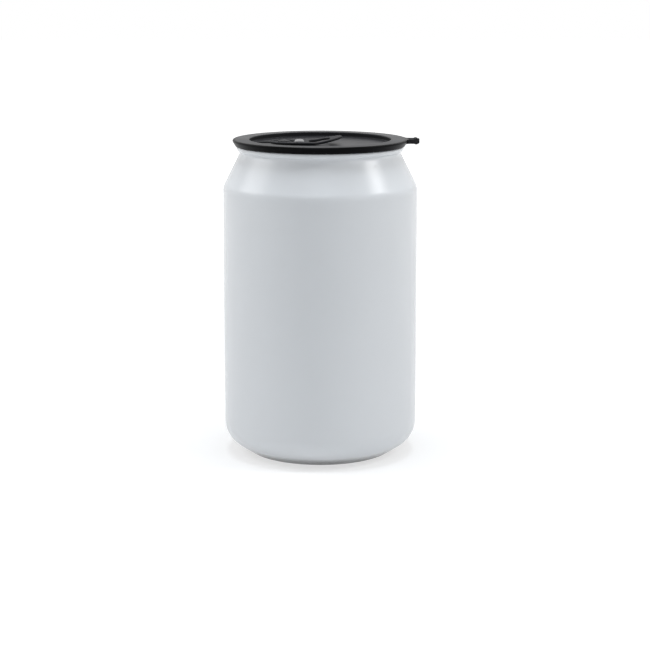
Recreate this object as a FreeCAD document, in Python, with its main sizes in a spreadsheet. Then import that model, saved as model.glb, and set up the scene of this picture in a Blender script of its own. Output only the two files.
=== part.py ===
import FreeCAD, Part
import math
import os
import Sketcher
from FreeCAD import Vector

# A drinks can of gloss white aluminium, shut by a press-on lid of black plastic with a thumb
# tab at its edge and a pull tab riveted to its panel. Millimetres, and degrees for angles.
# The can stands on +Z with the middle of its base at the origin, and the thumb tab points
# to +X. The can is shut and can't be seen into, so it is solid up to the lid.

# Name, size, and what it measures.
SIZES = (
    ("body_radius", 33.0, "outside of the straight wall"),
    ("can_height", 106.4, "ground to the top of the rolled curl"),
    ("stand_radius", 22.1, "middle of the flat ring that the can stands on"),
    ("stand_width", 1.0, "width of that flat ring"),
    ("chime_radius", 1.4, "round between the stand ring and the wall inside it"),
    ("nose_radius", 3.5, "round between the stand ring and the heel"),
    ("heel_radius", 8.6, "round between the heel and the straight wall"),
    ("heel_height", 10.8, "ground to where the straight wall starts"),
    ("dome_depth", 9.0, "ground to the middle of the dome under the can"),
    ("dome_radius", 40.0, "sphere of the dome"),
    ("dome_fillet", 1.5, "round between the dome and the wall inside the stand ring"),
    ("shoulder_drop", 16.0, "top of the curl down to where the straight wall ends"),
    ("shoulder_radius", 6.0, "round between the straight wall and the neck"),
    ("neck_fillet", 2.5, "hollow round between the neck and the groove under the curl"),
    ("groove_depth", 1.4, "how far the groove lies inside the curl"),
    ("curl_radius", 1.7, "section of the rolled curl"),
    ("mouth_radius", 24.9, "inside of the curl"),
    ("crown_thickness", 1.6, "lid above the curl"),
    ("rim_overhang", 1.4, "how far the lid's rim stands out past the curl"),
    ("rim_round", 0.5, "round at the rim's outer edge"),
    ("skirt_depth", 2.3, "top of the rim to the foot of the skirt"),
    ("skirt_lip", 0.4, "how far the foot of the skirt stands out past the curl"),
    ("recess_depth", 1.6, "top of the rim to the panel"),
    ("recess_round", 0.3, "round at the edge of the recess"),
    ("panel_thickness", 1.2, "the lid's panel"),
    ("panel_fillet", 0.4, "round between the panel and the wall of the recess"),
    ("plug_wall", 0.8, "ring that plugs the mouth"),
    ("plug_depth", 6.2, "top of the rim to the foot of the plug ring"),
    ("plug_chamfer", 0.3, "lead-in at the foot of the plug ring"),
    ("plug_clearance", 0.1, "gap beside and under the plug ring"),
    ("thumb_reach", 3.9, "how far the thumb tab stands out past the rim"),
    ("thumb_width", 7.0, "width of the thumb tab"),
    ("thumb_thickness", 1.4, "thickness of the thumb tab"),
    ("thumb_corner", 2.4, "round at the thumb tab's corners"),
    ("thumb_flare", 1.5, "hollow round where the thumb tab leaves the rim"),
    ("thumb_root", 1.0, "how far the thumb tab runs on into the rim"),
    ("grip_inset", 1.2, "tip of the thumb tab to the middle of its grip bead"),
    ("grip_radius", 1.0, "section of the grip bead"),
    ("grip_margin", 0.9, "end of the grip bead to the side of the thumb tab"),
    ("well_margin", 1.8, "drinking well to the wall of the recess"),
    ("well_radius", 4.0, "rounded ends of the drinking well"),
    ("well_straight", 5.0, "straight stretch between those ends"),
    ("well_depth", 0.4, "depth of the drinking well in the panel"),
    ("rivet_reach", 12.3, "middle of the lid to the rivet"),
    ("boss_radius", 2.4, "boss that the pull tab rests on"),
    ("boss_height", 0.1, "panel to the pull tab"),
    ("boss_root", 0.6, "how deep the boss is moulded into the panel"),
    ("stem_radius", 1.3, "stem of the rivet"),
    ("head_radius", 2.1, "head of the rivet"),
    ("head_edge", 0.2, "straight edge of the head"),
    ("head_crown", 0.35, "domed top of the head above that edge"),
    ("rivet_clearance", 0.05, "gap under the head of the rivet and round its stem"),
    ("nose_reach", 4.8, "rivet to the tip of the pull tab's nose"),
    ("tab_length", 24.5, "nose of the pull tab to its tail"),
    ("tab_nose_radius", 6.0, "round of the pull tab's nose"),
    ("tab_tail_radius", 7.0, "round of the pull tab's tail"),
    ("tab_thickness", 0.8, "thickness of the pull tab"),
    ("tab_fillet", 0.3, "rolled edges of the pull tab"),
    ("finger_radius", 3.6, "rounded ends of the finger hole"),
    ("finger_straight", 2.4, "straight stretch between those ends"),
    ("tail_bar", 4.1, "tail of the pull tab to the finger hole"),
    ("bend_reach", 15.0, "nose of the pull tab to where its tail bends up"),
    ("bend_radius", 10.0, "underside of that bend"),
    ("tail_angle", 12.0, "slope of the raised tail"),
    ("island_radius", 3.9, "sunk ring round the rivet"),
    ("island_depth", 0.3, "depth of that sunk ring"),
    ("slit_radius", 3.3, "rivet to the middle of the slit round it"),
    ("slit_width", 0.8, "width of the slit"),
    ("slit_angle", 110.0, "how far the slit runs to each side"),
    ("trim_margin", 2.0, "blank left round the pull tab before it is cut out"),
)

START, END, CENTRE = 1, 2, 3
ACROSS, UPRIGHT = -1, -2
TINY = 1e-6


class Size:
    """A size as its number and as the expression that the document works it out from."""

    def __init__(self, number, text):
        self.number = number
        self.text = text

    def __float__(self):
        return self.number

    def __add__(self, other):
        return Size(self.number + other.number, f"({self.text} + {other.text})")

    def __sub__(self, other):
        return Size(self.number - other.number, f"({self.text} - {other.text})")

    def __mul__(self, factor):
        return Size(self.number * factor, f"({self.text} * {factor})")

    def __neg__(self):
        return self * -1


class Sheet:
    """The spreadsheet of driving dimensions, each of them an attribute of this object."""

    def __init__(self, document):
        cells = document.addObject("Spreadsheet::Sheet", "Sizes")
        for row, (name, number, meaning) in enumerate(SIZES, start=1):
            cells.set(f"A{row}", name)
            cells.set(f"B{row}", str(number))
            cells.set(f"C{row}", meaning)
            cells.setAlias(f"B{row}", name)
            setattr(self, name, Size(number, f"Sizes.{name}"))


class Outline:
    """Lines and arcs drawn end to end in a sketch and held by constraints."""

    def __init__(self, sketch):
        self.sketch = sketch
        self.pieces = {}

    def line(self, name, start, end, kept=True):
        """Draw a line, kept level or upright if it is drawn so."""
        (x1, y1), (x2, y2) = start, end
        segment = Part.LineSegment(Vector(x1, y1, 0), Vector(x2, y2, 0))
        index = self.sketch.addGeometry(segment, False)
        self.pieces[name] = (index, START, END)
        if not kept:
            return
        if abs(y1 - y2) < TINY:
            self.sketch.addConstraint(Sketcher.Constraint("Horizontal", index))
        elif abs(x1 - x2) < TINY:
            self.sketch.addConstraint(Sketcher.Constraint("Vertical", index))

    def arc(self, name, centre, radius, first, last):
        """Draw an arc from the first angle to the last, clockwise if the last is smaller."""
        circle = Part.Circle(Vector(centre[0], centre[1], 0), Vector(0, 0, 1), radius)
        low, high = sorted((math.radians(first), math.radians(last)))
        index = self.sketch.addGeometry(Part.ArcOfCircle(circle, low, high), False)
        ends = (START, END) if last > first else (END, START)
        self.pieces[name] = (index, *ends)

    def chain(self, names, smooth=()):
        """Join each piece's last end to the next one's first, as a tangent where it is smooth."""
        for before, after in zip(names, names[1:]):
            first, _, first_end = self.pieces[before]
            second, second_end, _ = self.pieces[after]
            kind = "Tangent" if (before, after) in smooth else "Coincident"
            joint = Sketcher.Constraint(kind, first, first_end, second, second_end)
            self.sketch.addConstraint(joint)

    def end(self, name, which):
        """The geometry index of a piece and the number of its first, last or centre point."""
        index, first, last = self.pieces[name]
        return index, {"first": first, "last": last, "centre": CENTRE}[which]

    def hold(self, kind, size, *target):
        """Bind one dimension to the spreadsheet."""
        constraint = Sketcher.Constraint(kind, *target, float(size))
        index = self.sketch.addConstraint(constraint)
        self.sketch.setExpression(f"Constraints[{index}]", size.text)

    def radius(self, name, size):
        self.hold("Radius", size, self.pieces[name][0])

    def place(self, name, which, x=None, y=None):
        """Fix a point's distance from the sketch's axes."""
        point = self.end(name, which)
        if x is not None:
            self.hold("DistanceX", x, *point)
        if y is not None:
            self.hold("DistanceY", y, *point)

    def on_axis(self, name, which, axis):
        point = self.end(name, which)
        self.sketch.addConstraint(Sketcher.Constraint("PointOnObject", *point, axis))

    def level(self, name, which, other="centre"):
        """Keep an arc's end level with its centre."""
        points = (*self.end(name, other), *self.end(name, which))
        self.sketch.addConstraint(Sketcher.Constraint("Horizontal", *points))


def new_body(document, name):
    body = document.addObject("PartDesign::Body", name)
    body.Label = name
    return body


def new_sketch(body, name, role, x=None, y=None, z=None):
    """A sketch on one of the body's origin planes, moved by sizes in its own directions."""
    plane = next(item for item in body.Origin.OriginFeatures if item.Role == role)
    sketch = body.newObject("Sketcher::SketchObject", name)
    sketch.AttachmentSupport = [(plane, "")]
    sketch.MapMode = "FlatFace"
    for direction, size in (("x", x), ("y", y), ("z", z)):
        if size is not None:
            sketch.setExpression(f"AttachmentOffset.Base.{direction}", size.text)
    return sketch


def revolve(body, name, sketch):
    feature = body.newObject("PartDesign::Revolution", name)
    feature.Profile = sketch
    feature.ReferenceAxis = (sketch, ["V_Axis"])
    feature.Angle = 360.0
    return feature


def pad(body, name, sketch, length, reverse=False, both_sides=False):
    feature = body.newObject("PartDesign::Pad", name)
    feature.Profile = sketch
    feature.setExpression("Length", length.text)
    feature.Reversed = reverse
    feature.Midplane = both_sides
    return feature


def pocket(document, body, name, sketch, depth=None):
    """Cut downwards to a depth, or right through, and make sure that something was cut."""
    before = body.Tip.Shape.Volume
    feature = body.newObject("PartDesign::Pocket", name)
    feature.Profile = sketch
    if depth is None:
        feature.Type = "ThroughAll"
    else:
        feature.setExpression("Length", depth.text)
    document.recompute()
    if feature.Shape.Volume > before - TINY:
        raise RuntimeError(f"{name} cuts nothing")
    return feature


def tangent_side(first, first_radius, second, second_radius):
    """The direction, in degrees, from both centres to the line that touches two circles on
    their right-hand side, going from the first circle to the second. A radius below 0 puts
    that circle on the other side of the line."""
    along = math.hypot(second[0] - first[0], second[1] - first[1])
    heading = math.atan2(second[1] - first[1], second[0] - first[0])
    lean = math.asin((first_radius - second_radius) / along)
    return math.degrees(heading + lean) - 90.0


def on_circle(centre, radius, angle):
    return (
        centre[0] + radius * math.cos(math.radians(angle)),
        centre[1] + radius * math.sin(math.radians(angle)),
    )


def slot(outline, radius, straight):
    """A slot with rounded ends about the sketch's origin, its straight sides upright."""
    r = float(radius)
    half = float(straight) / 2
    outline.arc("top", (0, half), r, 0, 180)
    outline.line("left", (-r, half), (-r, -half))
    outline.arc("bottom", (0, -half), r, 180, 360)
    outline.line("right", (r, -half), (r, half), kept=False)
    ring = ["top", "left", "bottom", "right", "top"]
    outline.chain(ring, smooth=set(zip(ring, ring[1:])))
    outline.on_axis("top", "centre", UPRIGHT)
    outline.on_axis("bottom", "centre", UPRIGHT)
    outline.radius("top", radius)
    outline.place("top", "centre", y=straight * 0.5)
    outline.place("bottom", "centre", y=straight * -0.5)


def disc(sketch, radius):
    """A circle about the sketch's origin."""
    circle = Part.Circle(Vector(0, 0, 0), Vector(0, 0, 1), float(radius))
    index = sketch.addGeometry(circle, False)
    sketch.addConstraint(Sketcher.Constraint("Coincident", index, CENTRE, -1, START))
    Outline(sketch).hold("Radius", radius, index)


def can_base(outline, size, stand_in, stand_out):
    """The dome, the wall inside the stand ring and the ring itself."""
    rim = float(stand_in)
    chime = float(size.chime_radius)
    fillet = float(size.dome_fillet)
    dome = float(size.dome_radius)
    wall = rim - chime
    sphere = (0.0, float(size.dome_depth) - dome)
    rise = math.sqrt((dome - fillet) ** 2 - (wall - fillet) ** 2)
    corner = (wall - fillet, sphere[1] + rise)
    meeting = math.degrees(math.atan2(rise, wall - fillet))
    outline.arc("dome", sphere, dome, 90, meeting)
    outline.arc("dome_fillet", corner, fillet, meeting, 0)
    outline.line("inner_wall", (wall, corner[1]), (wall, chime))
    outline.arc("chime", (rim, chime), chime, 180, 270)
    outline.line("stand", (rim, 0), (float(stand_out), 0))
    outline.on_axis("dome", "centre", UPRIGHT)
    outline.on_axis("dome", "first", UPRIGHT)
    outline.on_axis("stand", "first", ACROSS)
    outline.place("dome", "first", y=size.dome_depth)
    outline.place("stand", "first", x=stand_in)
    outline.place("stand", "last", x=stand_out)
    outline.radius("dome", size.dome_radius)
    outline.radius("dome_fillet", size.dome_fillet)
    outline.radius("chime", size.chime_radius)


def can_wall(outline, size, stand_out, shoulder_z):
    """The nose and heel, the straight wall and the shoulder."""
    nose = (float(stand_out), float(size.nose_radius))
    heel = (float(size.body_radius - size.heel_radius), float(size.heel_height))
    shoulder = (float(size.body_radius - size.shoulder_radius), float(shoulder_z))
    radii = (float(size.nose_radius), float(size.heel_radius))
    under = tangent_side(nose, radii[0], heel, radii[1])
    outline.arc("nose", nose, radii[0], -90, under)
    outline.line("heel_cone", on_circle(nose, radii[0], under), on_circle(heel, radii[1], under))
    outline.arc("heel", heel, radii[1], under, 0)
    wall = float(size.body_radius)
    outline.line("wall", (wall, heel[1]), (wall, shoulder[1]))
    outline.place("wall", "first", x=size.body_radius, y=size.heel_height)
    outline.place("wall", "last", y=shoulder_z)
    outline.radius("nose", size.nose_radius)
    outline.radius("heel", size.heel_radius)
    return shoulder


def can_neck(outline, size, shoulder, curl, groove):
    """The shoulder's round, the cone, the groove and the rolled curl."""
    bulge = float(size.shoulder_radius)
    hollow = float(size.neck_fillet)
    roll = float(size.curl_radius)
    middle = (float(curl[0]), float(curl[1]))
    inset = float(groove) - middle[0]
    groove_z = middle[1] - math.sqrt(roll**2 - inset**2)
    neck = (float(groove) + hollow, groove_z)
    side = tangent_side(shoulder, bulge, neck, -hollow)
    outline.arc("shoulder", shoulder, bulge, 0, side)
    outline.line("cone", on_circle(shoulder, bulge, side), on_circle(neck, -hollow, side))
    outline.arc("neck", neck, hollow, 180 + side, 180)
    outline.arc("curl", middle, roll, math.degrees(math.atan2(groove_z - middle[1], inset)), 180)
    outline.level("neck", "last")
    outline.place("neck", "last", x=groove)
    outline.place("curl", "centre", x=curl[0], y=curl[1])
    outline.radius("shoulder", size.shoulder_radius)
    outline.radius("neck", size.neck_fillet)
    outline.radius("curl", size.curl_radius)


def can_mouth(outline, size, curl, lid):
    """The mouth's wall, the slot that the lid's plug ring goes into, and the solid fill."""
    mouth = float(size.mouth_radius)
    core = float(lid["plug_in"] - size.plug_clearance)
    slot_z = lid["plug_foot"] - size.plug_clearance
    low, deck = float(slot_z), float(lid["under"])
    outline.line("mouth", (mouth, float(curl[1])), (mouth, low))
    outline.line("slot_floor", (mouth, low), (core, low))
    outline.line("slot_core", (core, low), (core, deck))
    outline.line("deck", (core, deck), (0, deck))
    outline.line("axis", (0, deck), (0, float(size.dome_depth)))
    outline.place("slot_floor", "last", x=lid["plug_in"] - size.plug_clearance, y=slot_z)
    outline.place("deck", "first", y=lid["under"])


def make_can(document, size, curl, lid):
    body = new_body(document, "can")
    sketch = new_sketch(body, "can_profile", "XZ_Plane")
    outline = Outline(sketch)
    stand_in = size.stand_radius - size.stand_width * 0.5
    stand_out = size.stand_radius + size.stand_width * 0.5
    shoulder_z = size.can_height - size.shoulder_drop
    groove = curl[0] + size.curl_radius - size.groove_depth
    can_base(outline, size, stand_in, stand_out)
    shoulder = can_wall(outline, size, stand_out, shoulder_z)
    can_neck(outline, size, shoulder, curl, groove)
    can_mouth(outline, size, curl, lid)
    ring = list(outline.pieces) + ["dome"]
    corners = {
        ("neck", "curl"),
        ("mouth", "slot_floor"),
        ("slot_floor", "slot_core"),
        ("slot_core", "deck"),
        ("deck", "axis"),
        ("axis", "dome"),
    }
    outline.chain(ring, smooth=set(zip(ring, ring[1:])) - corners)
    revolve(body, "can_turned", sketch)
    return body


def lid_levels(size):
    """Radii and heights that the lid shares with the can and the pull tab."""
    top = size.can_height + size.crown_thickness
    panel = top - size.recess_depth
    plug_out = size.mouth_radius - size.plug_clearance
    bead = size.mouth_radius + size.curl_radius * 2
    return {
        "top": top,
        "panel": panel,
        "under": panel - size.panel_thickness,
        "plug_out": plug_out,
        "plug_in": plug_out - size.plug_wall,
        "plug_foot": top - size.plug_depth,
        "rim": bead + size.rim_overhang,
        "skirt": bead + size.skirt_lip,
        "skirt_foot": top - size.skirt_depth,
    }


def lid_underside(outline, size, curl, lid):
    """The panel's underside, the plug ring and the seat on the curl."""
    inner, outer = float(lid["plug_in"]), float(lid["plug_out"])
    foot, under = float(lid["plug_foot"]), float(lid["under"])
    lead = float(size.plug_chamfer)
    middle = (float(curl[0]), float(curl[1]))
    roll = float(size.curl_radius)
    hem = float(lid["skirt_foot"])
    hem_angle = math.degrees(math.asin((hem - middle[1]) / roll))
    outline.line("under", (0, under), (inner, under))
    outline.line("plug_in", (inner, under), (inner, foot))
    outline.line("plug_foot", (inner, foot), (outer - lead, foot))
    outline.line("plug_lead", (outer - lead, foot), (outer, foot + lead))
    outline.line("plug_out", (outer, foot + lead), (outer, middle[1]))
    outline.line("plug_step", (outer, middle[1]), (middle[0] - roll, middle[1]))
    outline.arc("seat", middle, roll, 180, hem_angle)
    outline.line("skirt_foot", on_circle(middle, roll, hem_angle), (float(lid["skirt"]), hem))
    outline.on_axis("under", "first", UPRIGHT)
    outline.place("under", "last", x=lid["plug_in"], y=lid["under"])
    outline.place("plug_foot", "last", x=lid["plug_out"] - size.plug_chamfer, y=lid["plug_foot"])
    outline.place("plug_lead", "last", x=lid["plug_out"], y=lid["plug_foot"] + size.plug_chamfer)
    outline.place("seat", "centre", x=curl[0], y=curl[1])
    outline.level("seat", "first")
    outline.radius("seat", size.curl_radius)
    outline.place("skirt_foot", "last", x=lid["skirt"], y=lid["skirt_foot"])


def lid_topside(outline, size, lid):
    """The skirt's slope, the rim, the recess and the panel."""
    edge, lip = float(size.rim_round), float(size.recess_round)
    fillet = float(size.panel_fillet)
    top, panel = float(lid["top"]), float(lid["panel"])
    recess = float(lid["plug_in"])
    foot = (float(lid["skirt"]), float(lid["skirt_foot"]))
    corner = (float(lid["rim"]) - edge, top - edge)
    slope = tangent_side(foot, 0, corner, edge)
    outline.line("skirt", foot, on_circle(corner, edge, slope))
    outline.arc("rim_edge", corner, edge, slope, 90)
    outline.line("rim", (corner[0], top), (recess + lip, top))
    outline.arc("recess_edge", (recess + lip, top - lip), lip, 90, 180)
    outline.line("recess", (recess, top - lip), (recess, panel + fillet))
    outline.arc("panel_edge", (recess - fillet, panel + fillet), fillet, 0, -90)
    outline.line("panel", (recess - fillet, panel), (0, panel))
    outline.line("axis", (0, panel), (0, float(lid["under"])))
    outline.place("rim", "first", x=lid["rim"] - size.rim_round, y=lid["top"])
    outline.radius("rim_edge", size.rim_round)
    outline.radius("recess_edge", size.recess_round)
    outline.place("recess", "first", x=lid["plug_in"])
    outline.radius("panel_edge", size.panel_fillet)
    outline.place("panel", "last", y=lid["panel"])


def lid_thumb_tab(document, body, size, lid):
    """The thumb tab at the rim, flush with its top, and the grip bead across its end."""
    tip = lid["rim"] + size.thumb_reach
    half = size.thumb_width * 0.5
    flare_x = lid["rim"] + size.thumb_flare * 0.5
    root = lid["rim"] - size.thumb_flare - size.thumb_root
    sketch = new_sketch(body, "thumb_plan", "XY_Plane", z=lid["top"])
    outline = Outline(sketch)
    corner, flare = float(size.thumb_corner), float(size.thumb_flare)
    end, bend, base, side = float(tip), float(flare_x), float(root), float(half)
    wide = side + flare
    outline.line("root", (base, wide), (base, -wide))
    outline.line("low_shelf", (base, -wide), (bend - flare, -wide))
    outline.arc("low_flare", (bend, -wide), flare, 180, 90)
    outline.line("low_side", (bend, -side), (end - corner, -side))
    outline.arc("low_corner", (end - corner, corner - side), corner, -90, 0)
    outline.line("tip", (end, corner - side), (end, side - corner))
    outline.arc("high_corner", (end - corner, side - corner), corner, 0, 90)
    outline.line("high_side", (end - corner, side), (bend, side))
    outline.arc("high_flare", (bend, wide), flare, 270, 180)
    outline.line("high_shelf", (bend - flare, wide), (base, wide))
    ring = list(outline.pieces) + ["root"]
    rounds = ("low_side", "low_corner", "tip", "high_corner", "high_side")
    smooth = set(zip(rounds, rounds[1:])) | {("low_flare", "low_side"), ("high_side", "high_flare")}
    outline.chain(ring, smooth=smooth)
    outline.place("root", "first", x=root)
    outline.place("tip", "first", x=tip)
    for name, way in (("low", -1), ("high", 1)):
        last = "last" if name == "low" else "first"
        outline.level(f"{name}_flare", "first" if name == "low" else "last")
        outline.radius(f"{name}_flare", size.thumb_flare)
        outline.radius(f"{name}_corner", size.thumb_corner)
        outline.place(f"{name}_flare", last, x=flare_x, y=half * way)
    pad(body, "thumb_tab", sketch, size.thumb_thickness, reverse=True)
    bead = new_sketch(
        body,
        "grip_section",
        "XZ_Plane",
        x=tip - size.grip_inset,
        y=lid["top"] - size.thumb_thickness * 0.5,
    )
    disc(bead, size.grip_radius)
    length = size.thumb_width - size.grip_margin * 2
    pad(body, "grip_bead", bead, length, both_sides=True)
    document.recompute()


def lid_rivet(body, size, lid):
    """The boss, stem and domed head that carry the pull tab, moulded with the panel."""
    sketch = new_sketch(
        body, "rivet_profile", "XZ_Plane", x=-size.rivet_reach, y=lid["panel"]
    )
    outline = Outline(sketch)
    seat = size.tab_thickness - size.island_depth + size.boss_height + size.rivet_clearance
    shoulder = seat + size.head_edge
    boss, stem, head = float(size.boss_radius), float(size.stem_radius), float(size.head_radius)
    foot, rest = -float(size.boss_root), float(size.boss_height)
    low, edge = float(seat), float(shoulder)
    crown = float(size.head_crown)
    sphere = (head**2 + crown**2) / (2 * crown)
    centre = (0.0, edge + crown - sphere)
    brim = math.degrees(math.atan2(edge - centre[1], head))
    outline.line("foot", (0, foot), (boss, foot))
    outline.line("boss", (boss, foot), (boss, rest))
    outline.line("ledge", (boss, rest), (stem, rest))
    outline.line("stem", (stem, rest), (stem, low))
    outline.line("head_under", (stem, low), (head, low))
    outline.line("head_edge", (head, low), (head, edge))
    outline.arc("head_crown", centre, sphere, brim, 90)
    outline.line("axis", (0, edge + crown), (0, foot))
    outline.chain(list(outline.pieces) + ["foot"])
    outline.place("foot", "last", x=size.boss_radius, y=-size.boss_root)
    outline.on_axis("foot", "first", UPRIGHT)
    outline.place("ledge", "last", x=size.stem_radius, y=size.boss_height)
    outline.place("head_edge", "first", x=size.head_radius, y=seat)
    outline.place("head_edge", "last", y=shoulder)
    outline.on_axis("head_crown", "centre", UPRIGHT)
    outline.place("axis", "first", y=shoulder + size.head_crown)
    revolve(body, "rivet", sketch)


def make_lid(document, size, curl, lid):
    body = new_body(document, "lid")
    sketch = new_sketch(body, "lid_profile", "XZ_Plane")
    outline = Outline(sketch)
    lid_underside(outline, size, curl, lid)
    lid_topside(outline, size, lid)
    rounds = ("skirt", "rim_edge", "rim", "recess_edge", "recess", "panel_edge", "panel")
    outline.chain(list(outline.pieces) + ["under"], smooth=set(zip(rounds, rounds[1:])))
    revolve(body, "lid_turned", sketch)
    lid_thumb_tab(document, body, size, lid)
    well_reach = lid["plug_in"] - size.well_margin - size.well_radius
    well = new_sketch(body, "well_plan", "XY_Plane", x=-well_reach, z=lid["panel"])
    slot(Outline(well), size.well_radius, size.well_straight)
    pocket(document, body, "drinking_well", well, size.well_depth)
    lid_rivet(body, size, lid)
    return body


def tab_blank(document, body, size, base, nose):
    """The pull tab seen from the side: a flat strip whose tail bends up, wider than the tab."""
    sketch = new_sketch(body, "tab_side", "XZ_Plane", x=nose, y=base)
    outline = Outline(sketch)
    start, bend = -float(size.trim_margin), float(size.bend_reach)
    thick, turn = float(size.tab_thickness), float(size.bend_radius)
    slope = float(size.tail_angle)
    run = float(size.tab_length + size.trim_margin) - bend
    middle = (bend, turn)
    ways = math.radians(slope)
    under = on_circle(middle, turn, slope - 90)
    over = on_circle(middle, turn - thick, slope - 90)
    step = (run * math.cos(ways), run * math.sin(ways))
    tail = (under[0] + step[0], under[1] + step[1])
    tail_top = (over[0] + step[0], over[1] + step[1])
    outline.line("flat_under", (start, 0), (bend, 0))
    outline.arc("bend_under", middle, turn, -90, slope - 90)
    outline.line("tail_under", under, tail)
    outline.line("tail_end", tail, tail_top)
    outline.line("tail_over", tail_top, over)
    outline.arc("bend_over", middle, turn - thick, slope - 90, -90)
    outline.line("flat_over", (bend, thick), (start, thick))
    outline.line("nose_end", (start, thick), (start, 0))
    under_side = ("flat_under", "bend_under", "tail_under")
    over_side = ("tail_over", "bend_over", "flat_over")
    smooth = set(zip(under_side, under_side[1:])) | set(zip(over_side, over_side[1:]))
    outline.chain(list(outline.pieces) + ["flat_under"], smooth=smooth)
    outline.on_axis("flat_under", "first", ACROSS)
    outline.place("flat_under", "first", x=-size.trim_margin)
    outline.place("flat_under", "last", x=size.bend_reach)
    outline.radius("bend_under", size.bend_radius)
    outline.place("flat_over", "first", y=size.tab_thickness)
    centres = (*outline.end("bend_under", "centre"), *outline.end("bend_over", "centre"))
    sketch.addConstraint(Sketcher.Constraint("Coincident", *centres))
    tail_under, tail_over, tail_end = (
        outline.pieces[name][0] for name in ("tail_under", "tail_over", "tail_end")
    )
    sketch.addConstraint(Sketcher.Constraint("Parallel", tail_under, tail_over))
    sketch.addConstraint(Sketcher.Constraint("Perpendicular", tail_under, tail_end))
    outline.hold("Angle", size.tail_angle, tail_under)
    outline.hold("Distance", size.tab_length + size.trim_margin - size.bend_reach, tail_under)
    width = (size.tab_tail_radius + size.trim_margin) * 2
    pad(body, "tab_blank", sketch, width, both_sides=True)
    document.recompute()


def tab_outline(document, body, size, above, nose):
    """Cut away what lies outside the tab's rounded plan."""
    sketch = new_sketch(body, "tab_plan", "XY_Plane", x=nose, z=above)
    outline = Outline(sketch)
    front, back = float(size.tab_nose_radius), float(size.tab_tail_radius)
    length = float(size.tab_length)
    margin = float(size.trim_margin) * 2
    wide = back + margin
    ends = ((front, 0.0), (length - back, 0.0))
    side = tangent_side(ends[0], front, ends[1], back)
    outline.arc("nose", ends[0], front, -side, side + 360)
    outline.line("right", on_circle(ends[0], front, side), on_circle(ends[1], back, side))
    outline.arc("tail", ends[1], back, side, -side)
    outline.line("left", on_circle(ends[1], back, -side), on_circle(ends[0], front, -side))
    ring = list(outline.pieces) + ["nose"]
    outline.chain(ring, smooth=set(zip(ring, ring[1:])))
    outline.on_axis("nose", "centre", ACROSS)
    outline.on_axis("tail", "centre", ACROSS)
    outline.radius("nose", size.tab_nose_radius)
    outline.radius("tail", size.tab_tail_radius)
    outline.place("nose", "centre", x=size.tab_nose_radius)
    outline.place("tail", "centre", x=size.tab_length - size.tab_tail_radius)
    frame = Outline(sketch)
    frame.line("front", (-margin, wide), (-margin, -wide))
    frame.line("low", (-margin, -wide), (length + margin, -wide))
    frame.line("back", (length + margin, -wide), (length + margin, wide))
    frame.line("high", (length + margin, wide), (-margin, wide))
    frame.chain(list(frame.pieces) + ["front"])
    outside = size.tab_tail_radius + size.trim_margin * 2
    frame.place("front", "last", x=size.trim_margin * -2, y=-outside)
    frame.place("back", "last", x=size.tab_length + size.trim_margin * 2, y=outside)
    pocket(document, body, "tab_trimmed", sketch)


def walled_edges(shape):
    """Names of the edges where the upright walls of a plate meet its faces."""
    names = []
    walls = [face for face in shape.Faces if abs(face_normal(face).z) < TINY]
    for number, edge in enumerate(shape.Edges, start=1):
        middle = (edge.FirstParameter + edge.LastParameter) / 2
        upright = abs(edge.tangentAt(middle).z) > 1 - TINY
        on_wall = any(edge.isSame(side) for wall in walls for side in wall.Edges)
        if on_wall and not upright:
            names.append(f"Edge{number}")
    return names


def face_normal(face):
    low_u, high_u, low_v, high_v = face.ParameterRange
    return face.normalAt((low_u + high_u) / 2, (low_v + high_v) / 2)


def tab_island(document, body, size, top, above):
    """The sunk ring round the rivet, the slit that frees it, and the rivet's hole."""
    ring = new_sketch(body, "island_plan", "XY_Plane", x=-size.rivet_reach, z=top)
    disc(ring, size.island_radius)
    pocket(document, body, "island", ring, size.island_depth)
    sketch = new_sketch(body, "slit_plan", "XY_Plane", x=-size.rivet_reach, z=above)
    outline = Outline(sketch)
    middle, half = float(size.slit_radius), float(size.slit_width) / 2
    turn = float(size.slit_angle)
    outline.arc("outer", (0, 0), middle + half, -turn, turn)
    outline.arc("high_end", on_circle((0, 0), middle, turn), half, turn, turn + 180)
    outline.arc("inner", (0, 0), middle - half, turn, -turn)
    outline.arc("low_end", on_circle((0, 0), middle, -turn), half, 180 - turn, 360 - turn)
    chain = list(outline.pieces) + ["outer"]
    outline.chain(chain, smooth=set(zip(chain, chain[1:])))
    for name in ("outer", "inner"):
        centre = outline.end(name, "centre")
        sketch.addConstraint(Sketcher.Constraint("Coincident", *centre, -1, START))
    outline.radius("outer", size.slit_radius + size.slit_width * 0.5)
    outline.radius("inner", size.slit_radius - size.slit_width * 0.5)
    for name, sign in (("high_end", 1), ("low_end", -1)):
        middle_x = middle * math.cos(math.radians(turn))
        middle_y = sign * middle * math.sin(math.radians(turn))
        ray = sketch.addGeometry(
            Part.LineSegment(Vector(0, 0, 0), Vector(middle_x, middle_y, 0)), True
        )
        sketch.addConstraint(Sketcher.Constraint("Coincident", ray, START, -1, START))
        tip = outline.end(name, "centre")
        sketch.addConstraint(Sketcher.Constraint("Coincident", ray, END, *tip))
        outline.hold("Angle", size.slit_angle * sign, ray)
    pocket(document, body, "slit", sketch)
    hole = new_sketch(body, "hole_plan", "XY_Plane", x=-size.rivet_reach, z=above)
    disc(hole, size.stem_radius + size.rivet_clearance)
    pocket(document, body, "rivet_hole", hole)


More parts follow.
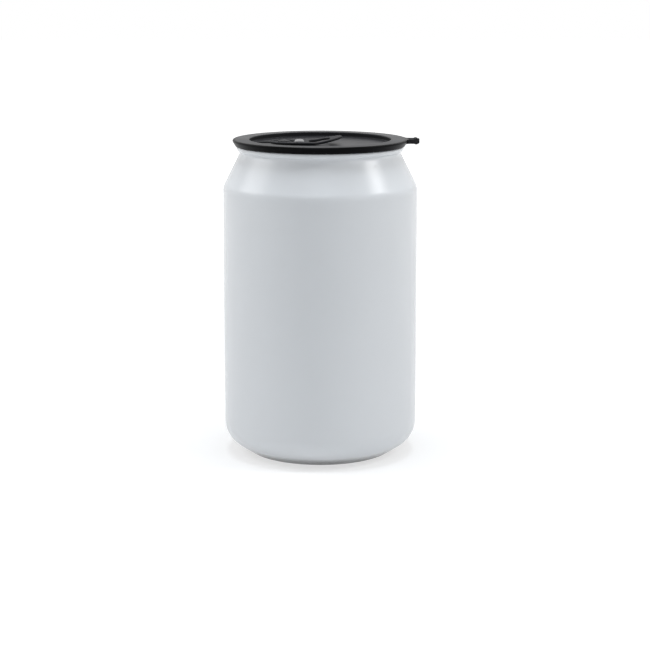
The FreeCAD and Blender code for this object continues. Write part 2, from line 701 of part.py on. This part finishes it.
def make_pull_tab(document, size, lid):
    body = new_body(document, "pull_tab")
    nose = -(size.rivet_reach + size.nose_reach)
    base = lid["panel"] + size.boss_height
    top = base + size.tab_thickness
    above = top + size.tab_length
    tab_blank(document, body, size, base, nose)
    tab_outline(document, body, size, above, nose)
    hole_x = nose + size.tab_length - size.tail_bar - size.finger_radius
    finger = new_sketch(body, "finger_plan", "XY_Plane", x=hole_x, z=above)
    slot(Outline(finger), size.finger_radius, size.finger_straight)
    cut = pocket(document, body, "finger_hole", finger)
    fillet = body.newObject("PartDesign::Fillet", "rolled_edges")
    fillet.Base = (cut, walled_edges(cut.Shape))
    fillet.setExpression("Radius", size.tab_fillet.text)
    document.recompute()
    tab_island(document, body, size, top, above)
    return body


def check(document, bodies):
    """Stop if anything in the document failed or a sub-part isn't one valid solid."""
    for item in document.Objects:
        if {"Invalid", "Error"} & set(item.State):
            raise RuntimeError(f"{item.Label} failed: {item.State}")
        if item.isDerivedFrom("Sketcher::SketchObject") and not item.FullyConstrained:
            raise RuntimeError(f"{item.Label} is not fully constrained")
    for body in bodies:
        shape = body.Shape
        if shape.isNull() or not shape.isValid() or len(shape.Solids) != 1:
            raise RuntimeError(f"{body.Label} is not one valid solid")


def main():
    document = FreeCAD.newDocument("can_with_lid")
    size = Sheet(document)
    document.recompute()
    curl = (size.mouth_radius + size.curl_radius, size.can_height - size.curl_radius)
    lid = lid_levels(size)
    bodies = (
        make_can(document, size, curl, lid),
        make_lid(document, size, curl, lid),
        make_pull_tab(document, size, lid),
    )
    document.recompute()
    check(document, bodies)
    os.makedirs("parts", exist_ok=True)
    for body in bodies:
        body.Shape.exportStep(os.path.join("parts", f"{body.Label}.step"))
        box = body.Shape.optimalBoundingBox()
        print(
            f"{body.Label}: {body.Shape.Volume:.1f} mm3,",
            f"x {box.XMin:.2f} to {box.XMax:.2f}, y {box.YMin:.2f} to {box.YMax:.2f},",
            f"z {box.ZMin:.2f} to {box.ZMax:.2f}",
        )


main()
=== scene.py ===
"""Dresses a white coated drinks can with a black press-on lid, and lights it in a small studio.

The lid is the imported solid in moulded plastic. The can's outside is turned here in two pieces, its
white coat and the bare metal base, so that each has its own finish. The pull tab is a copy of its
solid with rolled edges, and a polished bar swells from it.
"""

import math

import bmesh
import bpy
from bpy.props import FloatProperty, FloatVectorProperty, IntProperty, PointerProperty
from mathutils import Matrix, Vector


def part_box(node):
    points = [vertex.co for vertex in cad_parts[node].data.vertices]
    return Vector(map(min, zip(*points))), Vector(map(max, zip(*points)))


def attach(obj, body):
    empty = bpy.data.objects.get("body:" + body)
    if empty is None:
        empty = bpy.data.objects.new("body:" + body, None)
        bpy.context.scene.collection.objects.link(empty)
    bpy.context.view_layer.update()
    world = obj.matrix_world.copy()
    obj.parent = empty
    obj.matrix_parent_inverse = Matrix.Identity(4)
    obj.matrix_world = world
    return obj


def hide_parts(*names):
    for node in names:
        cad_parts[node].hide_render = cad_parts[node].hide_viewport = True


bl_info = {
    "name": "Lidded Drinks Can",
    "version": (1, 0, 0),
    "blender": (4, 5, 0),
    "location": "3D View > Sidebar > Drinks Can",
    "description": "Dresses a coated drinks can and its press-on lid, and lights them in a studio",
    "category": "Object",
}

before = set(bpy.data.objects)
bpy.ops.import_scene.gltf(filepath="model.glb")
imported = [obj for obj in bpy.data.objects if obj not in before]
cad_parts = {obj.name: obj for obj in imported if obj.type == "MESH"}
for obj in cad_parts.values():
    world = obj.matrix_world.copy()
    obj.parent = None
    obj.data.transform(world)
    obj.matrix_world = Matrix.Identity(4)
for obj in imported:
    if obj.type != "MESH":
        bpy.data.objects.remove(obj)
bpy.context.view_layer.update()
CAN_LOW, CAN_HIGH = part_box("can")
MM = 0.001
BODY = "root"
WHITE = "FFFFFF"
# Roughness that each finish of the mould leaves, from the smoothest flow to the roughest.
MOULD_FINISHES = {"moulded": (0.3, 0.4), "eroded": (0.5, 0.6), "polished": (0.12, 0.18)}
# Each softbox: its place round the can and above it in degrees, its side, and whether it is cool.
SOFTBOXES = {
    "over": (0, 89.9, 420 * MM, True),
    "right": (83, 37, 240 * MM, False),
    "left": (-96, 33, 480 * MM, False),
    "front": (0, 35, 420 * MM, True),
}


def linear(text):
    """The linear colour, with alpha, of an sRGB hex value."""
    levels = [int(text[i : i + 2], 16) / 255 for i in (0, 2, 4)]
    return [v / 12.92 if v <= 0.04045 else ((v + 0.055) / 1.055) ** 2.4 for v in levels] + [1.0]


def colour(name, description, default):
    """A colour that the panel shows, with an sRGB hex default."""
    return FloatVectorProperty(
        name=name,
        description=description,
        default=linear(default),
        size=4,
        min=0,
        max=1,
        subtype="COLOR",
    )


def length(name, description, default_mm):
    """A length that the panel shows, with its default in millimetres."""
    return FloatProperty(
        name=name,
        description=description,
        default=default_mm * MM,
        min=0,
        precision=5,
        subtype="DISTANCE",
        unit="LENGTH",
    )


def watts(name, description, default):
    """A lamp's power, which the panel shows."""
    return FloatProperty(
        name=name, description=description, default=default, min=0, unit="POWER"
    )


class CanSizes(bpy.types.PropertyGroup):
    """The can's outline, from the ground up."""

    dome_depth: length("Dome depth", "Rise of the base's dome at its middle", 9.0)
    dome_radius: length("Dome radius", "Sphere that the dome is part of", 40.0)
    dome_fillet: length("Dome fillet", "Round between the dome and the stand's inner wall", 1.5)
    stand_radius: length("Stand radius", "Middle of the ring that the can stands on", 22.1)
    stand_width: length("Stand width", "Flat of the stand ring", 1.0)
    chime_radius: length("Chime radius", "Round inside the stand ring", 1.4)
    nose_radius: length("Nose radius", "Round outside the stand ring", 3.5)
    heel_radius: length("Heel radius", "Round between the heel and the wall", 8.6)
    heel_height: length("Heel height", "Ground to the foot of the straight wall", 10.8)
    shoulder_drop: length("Shoulder drop", "Top of the can to the top of the straight wall", 16.0)
    shoulder_radius: length("Shoulder radius", "Round between the wall and the neck", 6.0)
    neck_fillet: length("Neck fillet", "Hollow round between the neck and the groove", 2.5)
    groove_depth: length("Groove depth", "Groove under the curl, inwards from the curl", 1.0)
    curl_radius: length("Curl radius", "Section of the rolled curl", 1.3)
    mouth_radius: length("Mouth radius", "Inside of the curl", 25.7)
    coat_edge: length("Coat edge", "Ground to the foot of the coat", 0.7)
    coat_thickness: length("Coat thickness", "Step from the coat down to the bare metal", 0.08)
    turns: IntProperty(name="Turns", description="Steps round the can", default=256, min=24)


class TabSizes(bpy.types.PropertyGroup):
    """The pull tab's rolled edges and its polished bar."""

    roll_cell: length("Roll cell", "Cell in which the tab's edges are rolled", 0.14)
    roll_passes: IntProperty(
        name="Roll passes", description="Times that the cells are smoothed", default=10, min=0
    )
    bar_reach: length("Bar reach", "Tab's nose to the bar's middle", 10.0)
    bar_rise: length("Bar rise", "Tab's lowest point to the bar's foot", 0.75)
    bar_width: length("Bar width", "Bar, along the tab", 3.2)
    bar_length: length("Bar length", "Bar, across the tab", 9.6)
    bar_crown: length("Bar crown", "Swell of the bar at its middle", 0.32)


class Finishes(bpy.types.PropertyGroup):
    """Colours of the can and of the lid."""

    coat: colour("Coat", "White polyester coat", "E6E8EA")
    metal: colour("Metal", "Bare aluminium of the base", "B9BABD")
    lid: colour("Lid", "Black plastic of the lid's top and pull tab", "2A2A2C")
    # Painted shade: the lid's outer wall gets a near black, darker than its top, for the shade that
    # falls there.
    skirt_painted_shade: colour("Skirt", "Black plastic of the lid's edge", "050506")
    bar: colour("Bar", "Polished bar across the pull tab", "3C3C3F")


class Studio(bpy.types.PropertyGroup):
    """Camera, lamps and floor."""

    aim_height: length("Aim height", "Height on the can's axis that the camera is aimed at", 54)
    distance: length("Distance", "Camera to the point that it is aimed at", 640)
    elevation: FloatProperty(
        name="Elevation",
        description="Camera above the horizon",
        default=math.radians(10.5),
        subtype="ANGLE",
        unit="ROTATION",
    )
    lens: FloatProperty(
        name="Lens", description="Focal length", default=103.0, min=1, unit="CAMERA"
    )
    shift_x: FloatProperty(name="Shift X", description="Framing, sideways", default=0.0074)
    shift_y: FloatProperty(name="Shift Y", description="Framing, upwards", default=-0.0455)
    lamp_distance: length("Lamp distance", "Each softbox to the can", 900)
    over_power: watts("Overhead power", "Softbox straight above", 5.5)
    right_power: watts("Right power", "Softbox on the right", 2.3)
    left_power: watts("Left power", "Softbox on the left", 2.4)
    front_power: watts("Front power", "Softbox above the viewer", 0.8)
    fill: FloatProperty(
        name="Fill", description="Brightness of the room on the can", default=0.18, min=0
    )
    cool_light: colour("Cool light", "Tint of the overhead and front light", "EEF5FC")
    paper: colour("Paper", "White paper of the floor, as it lights the can", "F2F2F2")
    seen_paper: colour("Seen paper", "The paper under its glow, where it is seen", "B3B3B3")
    floor_glow: FloatProperty(
        name="Floor glow", description="White added to the paper by the can", default=0.6, min=0
    )
    glow_near: length("Glow from", "Distance at which the paper begins to pale", 150)
    glow_far: length("Glow to", "Distance at which the paper is full white", 700)


def add(tree, kind, inputs=(), **settings):
    """Adds a shader node with its settings. inputs gives each socket a value or an output."""
    made = tree.nodes.new("ShaderNode" + kind)
    for name, value in settings.items():
        setattr(made, name, value)
    for socket, value in dict(inputs).items():
        if isinstance(value, bpy.types.NodeSocket):
            tree.links.new(value, made.inputs[socket])
        else:
            made.inputs[socket].default_value = value
    return made


def new_material(name):
    """An empty node material: the material, its tree and its output node."""
    made = bpy.data.materials.new(name)
    made.use_nodes = True
    made.node_tree.nodes.clear()
    return made, made.node_tree, add(made.node_tree, "OutputMaterial")


def finish_material(tree, output, shader):
    """Gives the material its shader."""
    tree.links.new(shader.outputs[0], output.inputs["Surface"])


def polyester_coat(finishes):
    """White polyester, sprayed and baked: gloss with a faint orange peel and soft highlights."""
    made, tree, output = new_material("white_polyester_coat_baked")
    place = add(tree, "TexCoord").outputs["Object"]
    peel_size, peel_height = 1.8 * MM, 0.004 * MM
    cloud_size = 30 * MM
    peel = add(tree, "TexNoise", {"Vector": place, "Scale": 1 / peel_size, "Detail": 1.0})
    bump = add(tree, "Bump", {"Height": peel.outputs["Fac"], "Distance": peel_height})
    cloud = add(tree, "TexNoise", {"Vector": place, "Scale": 1 / cloud_size, "Detail": 2.0})
    gloss = add(tree, "MapRange", {"Value": cloud.outputs["Fac"], "To Min": 0.22, "To Max": 0.29})
    shader = add(
        tree,
        "BsdfPrincipled",
        {
            "Base Color": finishes.coat,
            "Roughness": gloss.outputs["Result"],
            "IOR": 1.5,
            "Specular IOR Level": 0.38,
            "Normal": bump.outputs["Normal"],
        },
    )
    finish_material(tree, output, shader)
    return made


def from_axis(tree, place):
    """Each point's distance from the can's axis."""
    flat = add(tree, "VectorMath", {0: place, 1: (1, 1, 0)}, operation="MULTIPLY")
    return add(tree, "VectorMath", {0: flat.outputs["Vector"]}, operation="LENGTH").outputs["Value"]


def drawn_aluminium(finishes):
    """Aluminium sheet, drawn and domed: bare metal with fine rings from the tool."""
    made, tree, output = new_material("aluminium_drawn_bare")
    place = add(tree, "TexCoord").outputs["Object"]
    ring_spacing, ring_height = 0.5 * MM, 0.003 * MM
    level = add(tree, "SeparateXYZ", {"Vector": place}).outputs["Z"]
    swept = add(tree, "CombineXYZ", {"X": from_axis(tree, place), "Z": level})
    rings = add(
        tree,
        "TexNoise",
        {"Vector": swept.outputs["Vector"], "Scale": 1 / ring_spacing, "Detail": 3.0},
    )
    bump = add(tree, "Bump", {"Height": rings.outputs["Fac"], "Distance": ring_height})
    gloss = add(tree, "MapRange", {"Value": rings.outputs["Fac"], "To Min": 0.28, "To Max": 0.42})
    shader = add(
        tree,
        "BsdfPrincipled",
        {
            "Base Color": finishes.metal,
            "Metallic": 1.0,
            "Roughness": gloss.outputs["Result"],
            "Normal": bump.outputs["Normal"],
        },
    )
    finish_material(tree, output, shader)
    return made


def polypropylene(finish, top, skirt_painted_shade):
    """Black polypropylene, injection moulded: a fine matt grain, and a coarse one on the grip.

    Its outer wall is painted a deeper black than its top: painted shade, not the plastic's own
    colour.
    The rim falls a little to its edge, so that it mirrors less of the room in front than behind.
    The mould's real grain is finer than the one drawn here, which is as coarse as it needs to show.
    """
    made, tree, output = new_material("black_polypropylene_" + finish)
    smooth, rough = MOULD_FINISHES[finish]
    grip_roughness = 0.8
    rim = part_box("lid")[1].y
    grip_blend = 0.4 * MM
    skirt_start, skirt_blend = rim - 1.2 * MM, 0.5 * MM
    rim_start, rim_fall = rim - 5.2 * MM, 0.45 * MM
    grain_size, grain_height = 0.25 * MM, 0.006 * MM
    leather_size, leather_height = 0.6 * MM, 0.05 * MM
    flow_size = 9 * MM
    place = add(tree, "TexCoord").outputs["Object"]
    away = from_axis(tree, place)
    on_grip = add(tree, "MapRange", {"Value": away, "From Min": rim, "From Max": rim + grip_blend})
    grip = on_grip.outputs["Result"]
    # Painted-shade mask: 1 on the lid's outer wall and the rim's outer edge, 0 on the grip.
    past_top = add(
        tree,
        "MapRange",
        {"Value": away, "From Min": skirt_start, "From Max": skirt_start + skirt_blend},
    )
    painted_shade_mask = add(tree, "Math", {0: past_top.outputs["Result"], 1: grip}, operation="SUBTRACT")
    fall = add(
        tree,
        "MapRange",
        {
            "Value": away,
            "From Min": rim_start,
            "From Max": rim,
            "To Min": 0.0,
            "To Max": -rim_fall,
        },
    )
    sloped = add(tree, "Bump", {"Height": fall.outputs["Result"], "Distance": 1.0})
    grain = add(tree, "TexNoise", {"Vector": place, "Scale": 1 / grain_size, "Detail": 2.0})
    leather = add(tree, "TexVoronoi", {"Vector": place, "Scale": 1 / leather_size})
    grained = add(
        tree,
        "Bump",
        {
            "Height": grain.outputs["Fac"],
            "Distance": grain_height,
            "Normal": sloped.outputs["Normal"],
        },
    )
    gripped = add(
        tree,
        "Bump",
        {
            "Height": leather.outputs["Distance"],
            "Distance": leather_height,
            "Strength": grip,
            "Normal": grained.outputs["Normal"],
        },
    )
    flow = add(tree, "TexNoise", {"Vector": place, "Scale": 1 / flow_size, "Detail": 3.0})
    gloss = add(tree, "MapRange", {"Value": flow.outputs["Fac"], "To Min": smooth, "To Max": rough})
    roughness = add(
        tree,
        "MapRange",
        {"Value": grip, "To Min": gloss.outputs["Result"], "To Max": grip_roughness},
    )
    # A colour mix's sockets share their names with its other kinds, so they go by number.
    # Painted shade: the outer wall takes the darker black, and the top keeps the plastic's own
    # black.
    black = add(tree, "Mix", {0: painted_shade_mask.outputs[0], 6: top, 7: skirt_painted_shade}, data_type="RGBA")
    shader = add(
        tree,
        "BsdfPrincipled",
        {
            "Base Color": black.outputs[2],
            "Roughness": roughness.outputs["Result"],
            "IOR": 1.49,
            "Specular IOR Level": 0.05,
            "Normal": gripped.outputs["Normal"],
        },
    )
    finish_material(tree, output, shader)
    return made


def on_circle(centre, radius, degrees):
    """A point on a circle in the outline's plane."""
    turn = math.radians(degrees)
    return centre[0] + radius * math.cos(turn), centre[1] + radius * math.sin(turn)


def arc(centre, radius, start, end, step=3.0):
    """Points along a circle's arc, from one angle to the other."""
    count = max(2, math.ceil(abs(end - start) / step))
    return [on_circle(centre, radius, start + (end - start) * i / count) for i in range(count + 1)]


def tangent_side(first, first_radius, second, second_radius):
    """The angle at which a straight side touches both circles. A hollow's radius is negative."""
    across, up = second[0] - first[0], second[1] - first[1]
    lean = math.asin((first_radius - second_radius) / math.hypot(across, up))
    return math.degrees(math.atan2(up, across) + lean) - 90


def coat_foot(sizes):
    """The nose round's centre, and the angle on it where the coat ends."""
    nose = (sizes.stand_radius + sizes.stand_width / 2, sizes.nose_radius)
    return nose, -math.degrees(math.asin((nose[1] - sizes.coat_edge) / nose[1]))


def coat_outline(sizes):
    """The coated outside, from its foot over the heel, wall, shoulder and neck to the curl."""
    nose, foot = coat_foot(sizes)
    top, body = CAN_HIGH.z, CAN_HIGH.x
    heel = (body - sizes.heel_radius, sizes.heel_height)
    under = tangent_side(nose, sizes.nose_radius, heel, sizes.heel_radius)
    shoulder = (body - sizes.shoulder_radius, top - sizes.shoulder_drop)
    curl = (sizes.mouth_radius + sizes.curl_radius, top - sizes.curl_radius)
    inset = sizes.curl_radius - sizes.groove_depth
    drop = math.sqrt(sizes.curl_radius**2 - inset**2)
    neck = (curl[0] + inset + sizes.neck_fillet, curl[1] - drop)
    side = tangent_side(shoulder, sizes.shoulder_radius, neck, -sizes.neck_fillet)
    lip = on_circle(nose, sizes.nose_radius - sizes.coat_thickness, foot)
    return [
        lip,
        *arc(nose, sizes.nose_radius, foot, under),
        *arc(heel, sizes.heel_radius, under, 0),
        *arc(shoulder, sizes.shoulder_radius, 0, side),
        *arc(neck, sizes.neck_fillet, 180 + side, 180),
        *arc(curl, sizes.curl_radius, math.degrees(math.atan2(-drop, inset)), 180),
    ]


def base_outline(sizes):
    """The bare base, from the dome's middle over the stand ring to the coat's foot."""
    nose, foot = coat_foot(sizes)
    stand_in = sizes.stand_radius - sizes.stand_width / 2
    chime = (stand_in, sizes.chime_radius)
    wall = stand_in - sizes.chime_radius
    sphere = (0.0, sizes.dome_depth - sizes.dome_radius)
    inside = wall - sizes.dome_fillet
    rise = math.sqrt((sizes.dome_radius - sizes.dome_fillet) ** 2 - inside**2)
    meeting = math.degrees(math.atan2(rise, inside))
    return [
        *arc(sphere, sizes.dome_radius, 90, meeting),
        *arc((inside, sphere[1] + rise), sizes.dome_fillet, meeting, 0),
        *arc(chime, sizes.chime_radius, 180, 270),
        *arc(nose, sizes.nose_radius - sizes.coat_thickness, -90, foot),
    ]


def placed(name, data):
    """A new object that holds this data, in the scene."""
    made = bpy.data.objects.new(name, data)
    bpy.context.scene.collection.objects.link(made)
    return made


def smooth_piece(name, mesh):
    """Ends a bmesh as a smooth-shaded object."""
    for face in mesh.faces:
        face.smooth = True
    data = bpy.data.meshes.new(name)
    mesh.to_mesh(data)
    mesh.free()
    return placed(name, data)


def joined(mesh, loops):
    """Fills from each loop of corners to the next. A loop may be one corner, repeated."""
    for low, high in zip(loops, loops[1:]):
        for corner in range(len(low)):
            after = (corner + 1) % len(low)
            sides = (low[corner], low[after], high[after], high[corner])
            mesh.faces.new(tuple(dict.fromkeys(sides)))


def turned(name, outline, turns):
    """Turns an outline of radius and height round the can's axis."""
    merge_distance = 0.001 * MM
    mesh = bmesh.new()
    loops = []
    for before, point in zip([None, *outline], outline):
        if before and math.dist(before, point) < merge_distance:
            continue
        radius, height = point
        if radius < merge_distance:
            loops.append([mesh.verts.new((0, 0, height))] * turns)
        else:
            ring = [on_circle((0, 0), radius, 360 * step / turns) for step in range(turns)]
            loops.append([mesh.verts.new((x, y, height)) for x, y in ring])
    joined(mesh, loops)
    return smooth_piece(name, mesh)


def crowned_bar(name, foot, width, span, crown, corners=32, rings=8):
    """A low bar along Y with round ends, whose top swells evenly from its edge.

    foot is the middle of its underside, corners are counted round it, and rings up its swell.
    """
    end = width / 2
    straight = (span - width) / 2
    mesh = bmesh.new()
    loops = []
    for ring in range(rings):
        rise = math.radians(90 * ring / rings)
        reach, level = end * math.cos(rise), foot[2] + crown * math.sin(rise)
        loop = []
        for corner in range(corners):
            side = math.tau * (corner + 0.5) / corners
            x = foot[0] + reach * math.cos(side)
            y = foot[1] + reach * math.sin(side) + math.copysign(straight, math.sin(side))
            loop.append(mesh.verts.new((x, y, level)))
        loops.append(loop)
    joined(mesh, loops)
    mesh.faces.new(loops[-1])
    mesh.faces.new(loops[0][::-1])
    return smooth_piece(name, mesh)


def rolled(name, node, cell, passes):
    """A copy of a node's solid with its edges rolled soft, in cells of one size."""
    made = placed(name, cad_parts[node].data.copy())
    remesh = made.modifiers.new("cells", "REMESH")
    remesh.mode, remesh.voxel_size, remesh.use_smooth_shade = "VOXEL", cell, True
    smooth = made.modifiers.new("rolled", "SMOOTH")
    smooth.factor, smooth.iterations = 0.5, passes
    graph = bpy.context.evaluated_depsgraph_get()
    soft = bpy.data.meshes.new_from_object(made.evaluated_get(graph))
    made.modifiers.clear()
    made.data = soft
    return made


def wear(piece, material):
    """Puts one material on the whole of a piece."""
    if piece.material_slots:
        for held in piece.material_slots:
            held.link = "OBJECT"
            held.material = material
    else:
        piece.data.materials.append(material)


class CAN_OT_coat(bpy.types.Operator):
    """Turns the can's coated outside"""

    bl_idname = "drinks_can.coat"
    bl_label = "Coated can"

    def execute(self, context):
        sizes, finishes = context.scene.can_sizes, context.scene.can_finishes
        made = turned("can_coat", coat_outline(sizes), sizes.turns)
        wear(made, polyester_coat(finishes))
        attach(made, BODY)
        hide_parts("can")
        return {"FINISHED"}


class CAN_OT_base(bpy.types.Operator):
    """Turns the can's bare base, with its dome and stand ring"""

    bl_idname = "drinks_can.base"
    bl_label = "Bare base"

    def execute(self, context):
        sizes, finishes = context.scene.can_sizes, context.scene.can_finishes
        made = turned("can_base", base_outline(sizes), sizes.turns)
        wear(made, drawn_aluminium(finishes))
        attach(made, BODY)
        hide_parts("can")
        return {"FINISHED"}


class CAN_OT_lid(bpy.types.Operator):
    """Finishes the press-on lid, straight from a mould with a satin finish"""

    bl_idname = "drinks_can.lid"
    bl_label = "Lid"

    def execute(self, context):
        finishes = context.scene.can_finishes
        wear(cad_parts["lid"], polypropylene("moulded", finishes.lid, finishes.skirt_painted_shade))
        return {"FINISHED"}


class CAN_OT_tab(bpy.types.Operator):
    """Rolls the pull tab's edges, and sets a polished bar across it"""

    bl_idname = "drinks_can.tab"
    bl_label = "Pull tab"

    def execute(self, context):
        sizes, finishes = context.scene.tab_sizes, context.scene.can_finishes
        tab = rolled("tab_rolled", "pull_tab", sizes.roll_cell, sizes.roll_passes)
        wear(tab, polypropylene("eroded", finishes.lid, finishes.skirt_painted_shade))
        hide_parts("pull_tab")
        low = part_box("pull_tab")[0]
        foot = (low.x + sizes.bar_reach, 0.0, low.z + sizes.bar_rise)
        bar = crowned_bar("tab_web", foot, sizes.bar_width, sizes.bar_length, sizes.bar_crown)
        wear(bar, polypropylene("polished", finishes.bar, finishes.skirt_painted_shade))
        for piece in (tab, bar):
            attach(piece, BODY)
        return {"FINISHED"}


def seen_directly(tree):
    """1 on rays from the camera and on mirrored or transmitted ones, and 0 on those that light."""
    paths = add(tree, "LightPath")
    seen = paths.outputs["Is Camera Ray"]
    for kind in ("Is Glossy Ray", "Is Transmission Ray"):
        both = add(tree, "Math", {0: seen, 1: paths.outputs[kind]}, operation="MAXIMUM")
        seen = both.outputs[0]
    return seen


def seamless_paper(studio):
    """White seamless paper: it takes the can's shadow, and pales to full white further away.

    Where it is seen or mirrored, much of its white is a glow, which keeps the shadow on it pale.
    """
    made, tree, output = new_material("white_paper")
    place = add(tree, "TexCoord").outputs["Object"]
    away = add(tree, "VectorMath", {0: place}, operation="LENGTH")
    glow = add(
        tree,
        "MapRange",
        {
            "Value": away.outputs["Value"],
            "From Min": studio.glow_near,
            "From Max": studio.glow_far,
            "To Min": studio.floor_glow,
            "To Max": 1.0,
        },
        interpolation_type="SMOOTHSTEP",
    )
    seen = seen_directly(tree)
    strength = add(tree, "Math", {0: seen, 1: glow.outputs["Result"]}, operation="MULTIPLY")
    light = add(tree, "Emission", {"Color": linear(WHITE), "Strength": strength.outputs[0]})
    shade = add(
        tree, "Mix", {0: seen, 6: studio.paper, 7: studio.seen_paper}, data_type="RGBA"
    )
    paper = add(tree, "BsdfDiffuse", {"Color": shade.outputs[2]})
    both = add(tree, "AddShader", {0: light.outputs[0], 1: paper.outputs[0]})
    finish_material(tree, output, both)
    return made


def room(fill):
    """A white room: full white where it is seen or mirrored, dimmer where it lights the can."""
    world = bpy.data.worlds.new("white_room")
    bpy.context.scene.world = world
    world.use_nodes = True
    tree = world.node_tree
    tree.nodes.clear()
    strength = add(
        tree, "MapRange", {"Value": seen_directly(tree), "To Min": fill, "To Max": 1.0}
    )
    light = add(
        tree, "Background", {"Color": linear(WHITE), "Strength": strength.outputs["Result"]}
    )
    tree.links.new(light.outputs[0], add(tree, "OutputWorld").inputs["Surface"])


def aimed_at(target, place):
    """The rotation that turns a lamp or camera at a place to a target."""
    return (Vector(target) - Vector(place)).to_track_quat("-Z", "Y").to_euler()


def softbox(name, place, target, side, power, tint):
    """A square lamp at a place, turned to a target."""
    lamp = bpy.data.lights.new(name, "AREA")
    lamp.color = tint[:3]
    lamp.size = side
    lamp.energy = power
    made = placed(name, lamp)
    made.location = place
    made.rotation_euler = aimed_at(target, place)


def around(target, distance, azimuth, elevation):
    """A point round a target. Azimuth 0 is the viewer's side, and 90 is to the right."""
    turn_to, rise = math.radians(azimuth), math.radians(elevation)
    flat = distance * math.cos(rise)
    away = Vector((flat * math.sin(turn_to), -flat * math.cos(turn_to), distance * math.sin(rise)))
    return Vector(target) + away


def lay_floor(studio):
    """A sheet of white paper under the can, wide enough to meet the room's white."""
    reach = 3000 * MM
    sheet = bpy.data.meshes.new("floor")
    corners = [(-reach, -reach, 0), (reach, -reach, 0), (reach, reach, 0), (-reach, reach, 0)]
    sheet.from_pydata(corners, [], [(0, 1, 2, 3)])
    floor = placed("floor", sheet)
    wear(floor, seamless_paper(studio))


def set_camera(studio, target):
    """The camera, level across and a little above the can."""
    lens = bpy.data.cameras.new("camera")
    lens.lens = studio.lens
    lens.shift_x, lens.shift_y = studio.shift_x, studio.shift_y
    nearest_seen = 10 * MM
    lens.clip_start = nearest_seen
    camera = placed("camera", lens)
    camera.location = around(target, studio.distance, 0, math.degrees(studio.elevation))
    camera.rotation_euler = aimed_at(target, camera.location)
    bpy.context.scene.camera = camera


class CAN_OT_stage(bpy.types.Operator):
    """Sets up the floor, the room, the softboxes and the camera"""

    bl_idname = "drinks_can.stage"
    bl_label = "Studio"

    def execute(self, context):
        studio = context.scene.can_studio
        target = (0, 0, studio.aim_height)
        lay_floor(studio)
        room(studio.fill)
        for name, (azimuth, elevation, side, is_cool) in SOFTBOXES.items():
            place = around(target, studio.lamp_distance, azimuth, elevation)
            power = getattr(studio, name + "_power")
            tint = studio.cool_light if is_cool else linear(WHITE)
            softbox("softbox_" + name, place, target, side, power, tint)
        set_camera(studio, target)
        context.scene.view_settings.view_transform = "Standard"
        return {"FINISHED"}


class CAN_PT_panel(bpy.types.Panel):
    """Lists the can's pieces, sizes and finishes"""

    bl_idname = "CAN_PT_panel"
    bl_label = "Drinks Can"
    bl_space_type = "VIEW_3D"
    bl_region_type = "UI"
    bl_category = "Drinks Can"

    def draw(self, context):
        for made in OPERATORS:
            self.layout.operator(made.bl_idname)
        for group in GROUPS:
            held = getattr(context.scene, group)
            box = self.layout.box()
            for name in held.__annotations__:
                box.prop(held, name)


GROUPS = {
    "can_sizes": CanSizes,
    "tab_sizes": TabSizes,
    "can_finishes": Finishes,
    "can_studio": Studio,
}
OPERATORS = (CAN_OT_coat, CAN_OT_base, CAN_OT_lid, CAN_OT_tab, CAN_OT_stage)
CLASSES = (*GROUPS.values(), *OPERATORS, CAN_PT_panel)


def register():
    """Makes the classes known, and gives the scene its settings."""
    for made in CLASSES:
        bpy.utils.register_class(made)
    for name, group in GROUPS.items():
        setattr(bpy.types.Scene, name, PointerProperty(type=group))


def unregister():
    """Takes the settings and the classes away again."""
    for name in GROUPS:
        delattr(bpy.types.Scene, name)
    for made in reversed(CLASSES):
        bpy.utils.unregister_class(made)


def main():
    """Makes every piece and the studio."""
    register()
    bpy.ops.drinks_can.coat()
    bpy.ops.drinks_can.base()
    bpy.ops.drinks_can.lid()
    bpy.ops.drinks_can.tab()
    bpy.ops.drinks_can.stage()
    bpy.context.view_layer.update()


if __name__ == "__main__":
    main()
